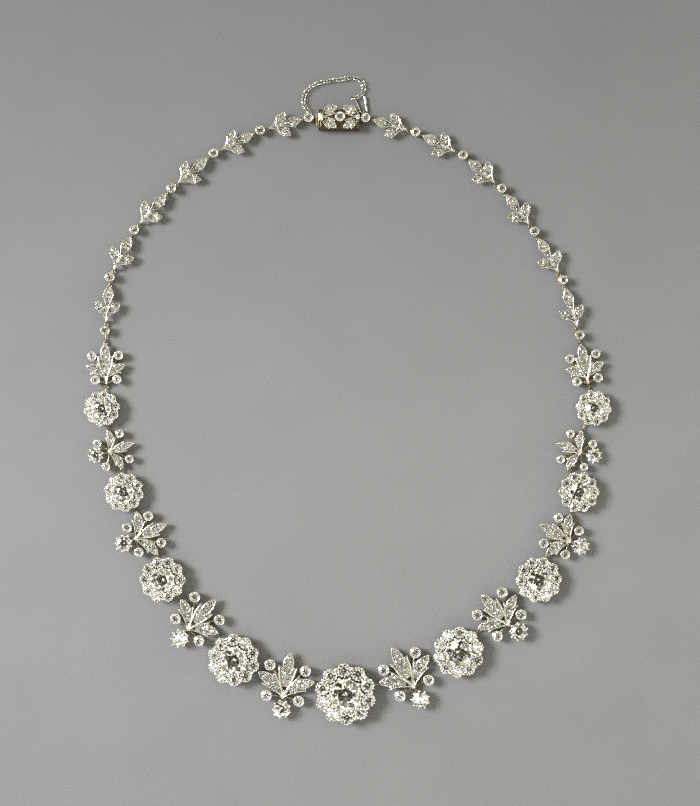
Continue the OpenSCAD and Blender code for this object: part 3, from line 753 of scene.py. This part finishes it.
def leaf(base, tip, half_w, bow, top, rims, stones, seed, floor=LEAF_FLOOR):
    """Rims, little stones and floors of one leaf: a tulip-shaped body and the pointed lobe that
    stands out of it, or a kite. The stones stand in rows over the floors, held by grains."""
    point = leaf_frame(base, tip, bow)
    edge = 0.045 * half_w + 0.065
    girdle = top - 0.12
    bed = girdle - PAVILION * 0.52 * half_w
    rim_z = (top + bed) / 2
    tall = (top - bed + 0.06) / 2 / edge
    parts, beds = [], []
    for n, rim in enumerate(rims):
        rise = 0.05 * n
        back = rim[:-1] if rim[-1][1] == 0 else rim
        outline = [point(s, w * half_w) for s, w, _ in rim]
        outline += [point(s, -w * half_w) for s, w, _ in reversed(back)]
        thickness = [t for _, _, t in rim] + [t for _, _, t in reversed(back)]
        start = ROOT_POINTS if n == 0 else 0
        within = outline[start:len(outline) - start]
        beds.append(plate([(p.x, p.y) for p in within], floor + 0.04, bed + rise * 0.2))
        parts.append(wire(lifted(outline, rim_z + rise), edge, closed=True, tall=tall,
                          taper=thickness))
    # A fine line runs up the middle from the root
    root = [point(s, 0) for s in (0.05, 0.12, 0.19)]
    parts.append(wire(lifted(root, rim_z), edge * 0.8, tall=tall, taper=[1, 0.9, 0.3]))
    gems = []
    aim = heading(tip - base)
    grain_r = 0.055 * half_w + 0.01
    chance = random.Random(seed)
    for across_w, along, size in stones:
        centre = point(along, across_w * half_w)
        d = size * half_w
        gems.append(set_stone(LITTLE, (centre, girdle, d), chance, 7))
        for degrees in (45, 225):
            spot = centre + turned((d * 0.5 + grain_r * 0.2, 0), degrees + aim)
            parts.append(grain(spot, girdle - 0.02, grain_r, tall=2.4))
    return parts, gems, beds


def sorted_leaves(leaves):
    """All rims, all little stones and all floors of several leaves."""
    return [[piece for kind in made for piece in kind] for made in zip(*leaves)]


# The necklace's pieces

def spray_at(k):
    return Vector(SPRAYS[k][:2])


def spray_shape(k):
    return SPRAY_SHAPES[SPRAYS[k][3]]


def spray_point(k, p):
    return spray_at(k) + turned(p, SPRAYS[k][2])


def spray_post(k, side):
    """Where the ring hangs under a spray, on its left (-1) or right (1) side."""
    shape = spray_shape(k)
    if not shape["start"]:
        return spray_point(k, (side * shape["tip"][0] * SIDE_POST, shape["tip"][1] * SIDE_POST))
    if (k == 0) == (side < 0):
        return spray_point(k, (0, shape["leaf"] * TOP_POST))
    return spray_at(k)


def flower_at(k):
    return Vector(FLOWERS[k][:2])


def build_flower(k):
    w = FLOWERS[k][2]
    node = f"flower_stones_{k + 1}"
    stones = stones_in(node)
    middle = max(stones, key=lambda s: s[2])
    petals = [s for s in stones if s is not middle]
    centre = flower_at(k)
    # Gallery: two rings joined by a post under each petal
    low, mid, high = 0.5, PETAL_FLOOR - 0.35, PETAL_FLOOR + 0.1
    inside, outside = 0.3 * w, 0.385 * w
    parts = [
        lathed([(inside, 0), (outside, 0), (0.39 * w, 0.1), (outside, low), (inside, low)], centre),
        lathed([(inside, mid), (0.38 * w, mid), (0.39 * w, high), (inside, high)], centre),
    ]
    parts += middle_cup(w, middle)
    inner_top = middle[1] + RIM_HEIGHT
    for petal in petals:
        spot, girdle, _ = petal
        u = unit(spot - centre)
        parts += petal_cup(w, petal)
        parts.append(pillar(centre + u * 0.345 * w, 0.2, PETAL_FLOOR, 0.03 * w))
        # Claws between two petals: an outer one, and an inner one on the middle stone
        between = turned(u, 180 / PETALS)
        outer, inner = centre + between * 0.43 * w, centre + between * 0.272 * w
        outer_top = girdle + RIM_HEIGHT - 0.05
        parts.append(pillar(outer, PETAL_FLOOR, outer_top, 0.024 * w))
        parts.append(grain(outer, outer_top + 0.01, 0.03 * w))
        parts.append(pillar(inner, PETAL_FLOOR + 0.5, inner_top, 0.022 * w))
        parts.append(grain(inner, inner_top, 0.03 * w))
    parts += hub_eye(centre, spray_post(k, 1), 0.36 * w, k > MIDDLE_FLOWER)
    parts += hub_eye(centre, spray_post(k + 1, -1), 0.36 * w, k < MIDDLE_FLOWER)
    finished(parts, f"flower_setting_{k + 1}", platinum, "platinum", f"flower_{k + 1}")
    chance = random.Random(100 + k)
    gems = [set_stone(BRILLIANT, s, chance, 0 if s is middle else 8) for s in stones]
    finished(gems, f"flower_diamonds_{k + 1}", diamond, "diamond", node)


def flower_cup(stone, outside, wall, steps):
    """A cup round a stone. outside is its outer profile from the floor up to the lip, and wall
    the height of its straight inner wall under the girdle."""
    spot, girdle, d = stone
    bore, bed = d * 0.42, d / 2 + SEAT_GAP
    lip = outside[-1][1]
    return smoothed(lathed([(bore, PETAL_FLOOR)] + outside + [
        (d * 0.49, lip), (bed, girdle), (bed, girdle - wall), (bore, girdle - wall - d * 0.06),
    ], spot, steps))


def middle_cup(w, stone):
    """The middle stone's cup with its beaded rim."""
    spot, girdle, _ = stone
    r = 0.27 * w
    top = girdle + RIM_HEIGHT
    cup = flower_cup(stone, [
        (r * 0.94, PETAL_FLOOR), (r * 0.94, top - 0.5), (r * 0.96, top - 0.15),
        (r * 0.95, top - 0.06),
    ], 0.3, 48)
    return [cup] + beads(spot, r * 0.95, top - 0.05, 0.0135 * w, 30)


def beads(spot, r, z, size, count):
    """Fine beading along a rim."""
    return [grain(spot + turned((r, 0), 360 / count * k), z, size) for k in range(count)]


def petal_cup(w, stone):
    """A petal's cup with its thin beaded rim."""
    spot, girdle, _ = stone
    r = 0.121 * w
    top = girdle + RIM_HEIGHT
    cup = flower_cup(stone, [
        (r * 0.84, PETAL_FLOOR), (r * 0.87, top - 0.7), (r * 0.92, top - 0.3),
        (r * 0.9, top - 0.14),
    ], 0.12, 28)
    return [cup] + beads(spot, r - 0.013 * w, top - 0.06, 0.0145 * w, 13)


def build_spray(k):
    node = f"spray_stones_{k + 1}"
    shape = spray_shape(k)
    base, turn = spray_at(k), SPRAYS[k][2]
    stones = stones_in(node)
    leaves = []
    side_w = SIDE_LEAF_W * Vector(shape["tip"]).length
    middle_w = MIDDLE_LEAF_W * shape["leaf"]
    start = spray_point(k, (0, shape["start"]))
    for side in (-1, 1):
        tip = spray_point(k, (side * shape["tip"][0], shape["tip"][1]))
        leaves.append(leaf(start, tip, side_w, -side * LEAF_BOW, LEAF_TOP,
                           (SIDE_LEAF_RIM, LOBE_RIM), BIG_LEAF_STONES, 10 * k + side))
    tip = spray_point(k, (0, shape["leaf"]))
    leaves.append(leaf(base, tip, middle_w, 0, LEAF_TOP + LEAF_STEP,
                       (LEAF_RIM, LOBE_RIM), BIG_LEAF_STONES, 10 * k + 5))
    parts, gems, beds = sorted_leaves(leaves)
    for stone in stones:
        spot, _, d = stone
        if d > shape["cup"]:
            finished(claw_setting(stone), f"claw_setting_{k + 1}", bright_platinum, "platinum")
            stem = [base, spot + unit(base - spot) * d * 0.46]
        else:
            parts.append(collet(shape["cup"], stone))
            side = -1 if turned(spot - base, -turn).x < 0 else 1
            stem = arc(base, spot + unit(base - spot) * shape["cup"] * 0.4, side * 0.08)
        parts.append(wire(lifted(stem, STEM_Z), STEM_R))
    parts.append(pillar(base, 0.95, KNOT_TOP, KNOT_R, sides=4))
    parts.append(grain(base, KNOT_TOP, KNOT_R))
    last = len(SPRAYS) - 1
    before = Vector(COLLETS["left"][-1]) if k == 0 else flower_at(k - 1)
    after = Vector(COLLETS["right"][-1]) if k == last else flower_at(k)
    parts += leaf_eye(spray_post(k, -1), before, k > MIDDLE_FLOWER)
    parts += leaf_eye(spray_post(k, 1), after, k <= MIDDLE_FLOWER)
    finished(parts, f"spray_setting_{k + 1}", platinum, "platinum", f"spray_{k + 1}")
    finished(gems, f"spray_leaf_stones_{k + 1}", diamond, "diamond")
    finished(beds, f"spray_leaf_floors_{k + 1}", shaded_satin_platinum, "platinum")
    chance = random.Random(200 + k)
    gems = [set_stone(BRILLIANT, s, chance, 8 if s[2] > shape["cup"] else 3) for s in stones]
    finished(gems, f"spray_diamonds_{k + 1}", diamond, "diamond", node)


def claw_setting(stone):
    """Claws with rounded tips round a big stone, on two rings."""
    spot, girdle, d = stone
    r = d / 2
    low = girdle - 0.62
    parts = [
        lathed([(r * 0.66, 0.35), (r * 0.86, 0.35), (r * 0.9, 0.65), (r * 0.7, 0.65)], spot),
        lathed([(r * 0.84, low), (r * 0.97, low), (r + 0.02, girdle - 0.2),
                (r * 0.9, girdle - 0.32)], spot),
    ]
    for k in range(CLAWS):
        angle = 360 / CLAWS * (k + 0.5)
        foot = spot + turned((r * 0.84, 0), angle)
        head = spot + turned((r + 0.16, 0), angle)
        end = spot + turned((r - 0.08, 0), angle)
        line = [(foot.x, foot.y, 0.3), (head.x, head.y, girdle - 0.35),
                (head.x, head.y, girdle + 0.1), (end.x, end.y, girdle + 0.26)]
        parts.append(wire(line, 0.19, taper=[0.9, 1, 1.1, 0.9]))
        parts.append(grain(head, girdle + 0.08, 0.3))
    return parts


# A trefoil, measured from the end of its stem up the chain and outwards: the stem and the lines
# that curve from it along the side leaves, with their thickness at each point, then start, tip
# and half width of the side leaves, and start and half width of the top leaf
FORK = [
    [(0.0, 0.0, 1.0), (0.9, 0.0, 0.9), (1.8, 0.0, 0.7), (2.8, -0.03, 0.7), (3.8, -0.05, 0.5)],
    [(0.1, 0.08, 0.9), (0.8, 0.24, 1.0), (1.4, 0.55, 1.0), (1.85, 1.05, 1.0), (2.2, 1.65, 0.9),
     (2.6, 2.35, 0.6)],
    [(0.1, -0.08, 0.9), (0.8, -0.24, 1.0), (1.4, -0.55, 1.0), (1.85, -1.05, 1.0),
     (2.2, -1.7, 0.9), (2.6, -2.45, 0.6)],
]
OUTER_LEAF = ((1.9, 0.05), (4.9, 2.9), 1.02)
INNER_LEAF = ((2.2, -0.1), (4.8, -3.1), 1.1)
TOP_LEAF_START = (3.1, -0.05)
TOP_LEAF_W = 1.25


def build_trefoil(side, i):
    upper, lower = Vector(COLLETS[side][i]), Vector(COLLETS[side][i + 1])
    up = unit(upper - lower)
    top, foot = upper - up * COLLET_REACH, lower + up * COLLET_REACH
    right = Vector((up.y, -up.x))
    out = -right if side == "left" else right
    stem_end = foot - up * 0.3

    def place(p):
        return stem_end + up * p[0] + out * p[1]

    leaves = []
    for n, (start, tip, half_w) in enumerate((OUTER_LEAF, INNER_LEAF)):
        leaves.append(leaf(place(start), place(tip), half_w, 0, LEAF_TOP,
                           (LITTLE_LEAF_RIM, LOBE_RIM), LITTLE_LEAF_STONES, 20 * i + n))
    leaves.append(leaf(place(TOP_LEAF_START), top + up * 0.6, TOP_LEAF_W, 0, LEAF_TOP + LEAF_STEP,
                       (KITE_RIM,), KITE_STONES, 20 * i + 5))
    parts, gems, beds = sorted_leaves(leaves)
    for strip in FORK:
        line = lifted([place(p) for p in strip], LEAF_TOP - 0.25)
        parts.append(wire(line, 0.15, tall=2.1, taper=[p[2] for p in strip]))
    parts.append(wire(lifted([stem_end, place((3.6, -0.05))], LEAF_FLOOR + 0.25), 0.18))
    parts += leaf_eye(top, upper, False)
    parts += leaf_eye(foot, lower, True)
    link = f"{side}_{i + 1}"
    finished(parts, f"trefoil_setting_{link}", dull_platinum, "platinum", f"trefoil_{link}")
    finished(gems, f"trefoil_leaf_stones_{link}", old_cut_diamond, "diamond")
    finished(beds, f"trefoil_leaf_floors_{link}", shaded_satin_platinum, "platinum")


def end_post(side):
    """Where the last collet of a side hangs on the first or last spray."""
    return spray_post(0, -1) if side == "left" else spray_post(len(SPRAYS) - 1, 1)


def collet_with_rings(side, i, stone):
    """A collet of the back chain with its flat ring above and its upright ring below. The first
    one, at the clasp, has no ring above."""
    spot = Vector(COLLETS[side][i])
    parts = [collet(COLLET_D, stone)]
    wall = COLLET_D / 2 - 0.35
    if i > 0:
        above = Vector(COLLETS[side][i - 1])
        parts += hub_eye(spot, spot + unit(above - spot) * COLLET_REACH, wall, False)
    if i < LAST_COLLET:
        below = Vector(COLLETS[side][i + 1])
        parts += hub_eye(spot, spot + unit(below - spot) * COLLET_REACH, wall, True)
    else:
        parts += hub_eye(spot, end_post(side), wall, True)
    return parts


def build_chain(side):
    node = f"chain_stones_{side}"
    stones = stones_in(node)
    parts = []
    for i in range(1, LAST_COLLET + 1):
        parts += collet_with_rings(side, i, stone_near(stones, Vector(COLLETS[side][i])))
    finished(parts, f"collet_settings_{side}", dull_platinum, "platinum", f"chain_collets_{side}")
    chance = random.Random(side)
    gems = [set_stone(BRILLIANT, s, chance, 3) for s in stones]
    finished(gems, f"collet_diamonds_{side}", old_cut_diamond, "diamond", node)


# Clasp: middle of its box and of the motif on it, sizes of box and tongue, and the places where
# safety chain and pin begin, bend and end
CLASP_AT = Vector((-2.4, 70.05))
MOTIF_AT = Vector((-2.1, 70.65))
BOX_L = 10.2
BOX_W = 4.9
BOX_H = 2.6
BOX_LEFT = CLASP_AT.x - BOX_L / 2
BOX_RIGHT = CLASP_AT.x + BOX_L / 2
TONGUE_W = 3.0
TONGUE_LOW = 0.6
TONGUE_HIGH = 1.7
TONGUE_SHEET = 0.35
PIN_RING = Vector((3.75, 72.15))
PIN_AT = Vector((3.7, 72.75))
PIN_BEND = 0.92
PIN_START = Vector((1.6, 75.55))
PIN_TIP = Vector((4.1, 76.1))
PIN_Z = 0.6
CHAIN_END = Vector((1.2, 75.9))
CHAIN_START = Vector((-9.8, 72.1))
CHAIN_NEXT = Vector((-11.2, 74.4))
RING_R = 0.57
RING_WIRE = 0.12
RING_Z = 0.54
PIN_RING_R = 0.58
PIN_RING_Z = 0.72


def face_towards(piece, direction):
    """Selects the flat face that looks furthest in a direction."""
    edit(piece)
    bpy.ops.mesh.select_all(action="DESELECT")
    leave()
    aim = Vector(direction)
    face = max(piece.data.polygons, key=lambda f: (round(f.normal.dot(aim), 2), f.center.dot(aim)))
    face.select = True
    bpy.ops.object.mode_set(mode="EDIT")
    bpy.ops.mesh.select_mode(type="FACE")


def plain_block(low, high):
    middle = [(a + b) / 2 for a, b in zip(low, high)]
    size = [b - a for a, b in zip(low, high)]
    bpy.ops.mesh.primitive_cube_add(size=1, location=middle, scale=size)
    return bake_place(bpy.context.active_object)


def block(low, high, edge=0.08):
    """A bar with softened edges."""
    bar = plain_block(low, high)
    edit(bar)
    bpy.ops.mesh.bevel(offset=edge, segments=2, affect="EDGES")
    leave()
    return bar


def clasp_case():
    """Box with a mouth for the tongue at its end and a sunk panel under the leaves."""
    case = plain_block((BOX_LEFT, CLASP_AT.y - BOX_W / 2, 0),
                       (BOX_RIGHT, CLASP_AT.y + BOX_W / 2, BOX_H))
    face_towards(case, (-1, 0, 0))
    bpy.ops.mesh.inset(thickness=0.55)
    bpy.ops.transform.translate(value=(0, 0, -0.1))
    bpy.ops.mesh.extrude_region_move(TRANSFORM_OT_translate={"value": (BOX_L / 2 + 0.6, 0, 0)})
    leave()
    face_towards(case, (0, 0, 1))
    bpy.ops.mesh.inset(thickness=0.3)
    bpy.ops.mesh.extrude_region_move(TRANSFORM_OT_translate={"value": (0, 0, -0.16)})
    bpy.ops.mesh.inset(thickness=0.25)
    bpy.ops.mesh.extrude_region_move(TRANSFORM_OT_translate={"value": (0, 0, 0.05)})
    bpy.ops.mesh.select_all(action="SELECT")
    bpy.ops.mesh.normals_make_consistent(inside=False)
    leave()
    pick(case)
    soft = case.modifiers.new("soft edges", "BEVEL")
    soft.width = 0.09
    soft.segments = 2
    soft.limit_method = "ANGLE"
    bpy.ops.object.modifier_apply(modifier=soft.name)
    return case


def build_motif(stone):
    """Four leaves round a collet on the box, with a ribbed stop at one end and a knob at the other."""
    leaves = []
    for end in (-1, 1):
        for side in (-1, 1):
            foot = MOTIF_AT + Vector((end * 4.8, side * 0.1))
            tip = MOTIF_AT + Vector((end * 0.9, side * 2.7))
            leaves.append(leaf(foot, tip, 1.2, 0, BOX_H + 0.62, (LITTLE_LEAF_RIM, LOBE_RIM),
                               LITTLE_LEAF_STONES, 40 + 2 * end + side, floor=BOX_H - 0.15))
    parts, gems, beds = sorted_leaves(leaves)
    parts.append(collet(2.5, stone, base=BOX_H - 0.14))
    rib_z = BOX_H + 0.2
    for k in range(4):
        x = BOX_LEFT + 0.22 + 0.24 * k
        parts.append(wire([(x, MOTIF_AT.y - 0.62, rib_z), (x, MOTIF_AT.y + 0.62, rib_z)],
                          0.15, tall=1.8))
    parts.append(block((BOX_LEFT + 0.02, MOTIF_AT.y - 0.8, BOX_H - 0.05),
                       (BOX_LEFT + 1.1, MOTIF_AT.y + 0.8, BOX_H + 0.22)))
    parts.append(block((BOX_RIGHT - 0.75, MOTIF_AT.y - 0.45, BOX_H - 0.05),
                       (BOX_RIGHT + 0.12, MOTIF_AT.y + 0.45, BOX_H + 0.3)))
    finished(parts, "clasp_motif", bright_platinum, "platinum")
    finished(gems, "clasp_motif_stones", diamond, "diamond")
    finished(beds, "clasp_leaf_floors", shaded_satin_platinum, "platinum")


def build_slide(first_left):
    """The tongue: its end, its two sheets in the box, and the bar to the first collet on the left."""
    y, half = CLASP_AT.y, TONGUE_W / 2
    slide = [
        block((BOX_LEFT - 0.6, y - half, TONGUE_LOW), (BOX_LEFT - 0.1, y + half, TONGUE_HIGH)),
        block((BOX_LEFT - 0.2, y - half, TONGUE_LOW),
              (CLASP_AT.x + 0.3, y + half, TONGUE_LOW + TONGUE_SHEET), 0.05),
        block((BOX_LEFT - 0.2, y - half, TONGUE_HIGH - TONGUE_SHEET),
              (CLASP_AT.x + 0.3, y + half, TONGUE_HIGH), 0.05),
        block((first_left.x + 0.6, y - 0.7, TONGUE_LOW), (BOX_LEFT - 0.5, y + 0.7, TONGUE_HIGH)),
    ]
    finished(slide, "clasp_slide", gold, "gold", "clasp_tongue")


def build_clasp():
    stones = stones_in("clasp_stones")
    first_left, first_right = Vector(COLLETS["left"][0]), Vector(COLLETS["right"][0])
    case = clasp_case()
    bridge = block((BOX_RIGHT - 0.1, CLASP_AT.y - 0.5, 0.4),
                   (first_right.x - 0.9, CLASP_AT.y + 0.5, 1.6))
    finished([case, bridge], "clasp_case", gold, "gold", "clasp_box")
    build_motif(stone_near(stones, MOTIF_AT))
    build_slide(first_left)
    for side, first in (("left", first_left), ("right", first_right)):
        parts = collet_with_rings(side, 0, stone_near(stones, first))
        finished(parts, f"first_collet_{side}", dull_platinum, "platinum")

    chain_ring = hoop(RING_R, RING_WIRE)
    chain_turn = heading(CHAIN_NEXT - CHAIN_START)
    chain_ring.data.transform(at(CHAIN_START.x, CHAIN_START.y, RING_Z, chain_turn)
                              @ Matrix.Rotation(math.radians(45), 4, "X"))
    pin_ring = hoop(PIN_RING_R, RING_WIRE)
    pin_ring.data.transform(at(PIN_RING.x, PIN_RING.y, PIN_RING_Z)
                            @ Matrix.Rotation(math.radians(90), 4, "Y"))
    finished([chain_ring, pin_ring], "safety_rings", steel, "steel")
    chance = random.Random(300)
    gems = [set_stone(BRILLIANT, s, chance, 3) for s in stones]
    finished(gems, "clasp_diamonds", diamond, "diamond", "clasp_stones")


def build_pin():
    """Hairpin of flattened wire that hooks through the ring on the right collet."""
    bend = [PIN_AT + turned((PIN_BEND, 0), 180 + 18 * k) for k in range(11)]
    line = lifted([PIN_START] + bend + [PIN_TIP], PIN_Z)
    thick = [0.9] + [0.75] * len(bend) + [1.2]
    leg = wire(line, 0.3, tall=0.75, taper=thick)
    ring = hoop(RING_R, RING_WIRE)
    ring.data.transform(at(CHAIN_END.x, CHAIN_END.y, RING_Z, 11)
                        @ Matrix.Rotation(math.radians(-45), 4, "X"))
    finished([leg, ring], "safety_pin_wire", steel, "steel", "safety_pin")


build_set()
BALL = ball()
BRILLIANT = brilliant()
LITTLE = little_brilliant()

for k in range(len(FLOWERS)):
    build_flower(k)
for k in range(len(SPRAYS)):
    build_spray(k)
for side in ("left", "right"):
    for i in range(LAST_COLLET):
        build_trefoil(side, i)
    build_chain(side)
build_clasp()
build_pin()
removed(BALL, BRILLIANT, LITTLE)

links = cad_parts["safety_chain"]
links.data.materials.clear()
links.data.materials.append(steel)
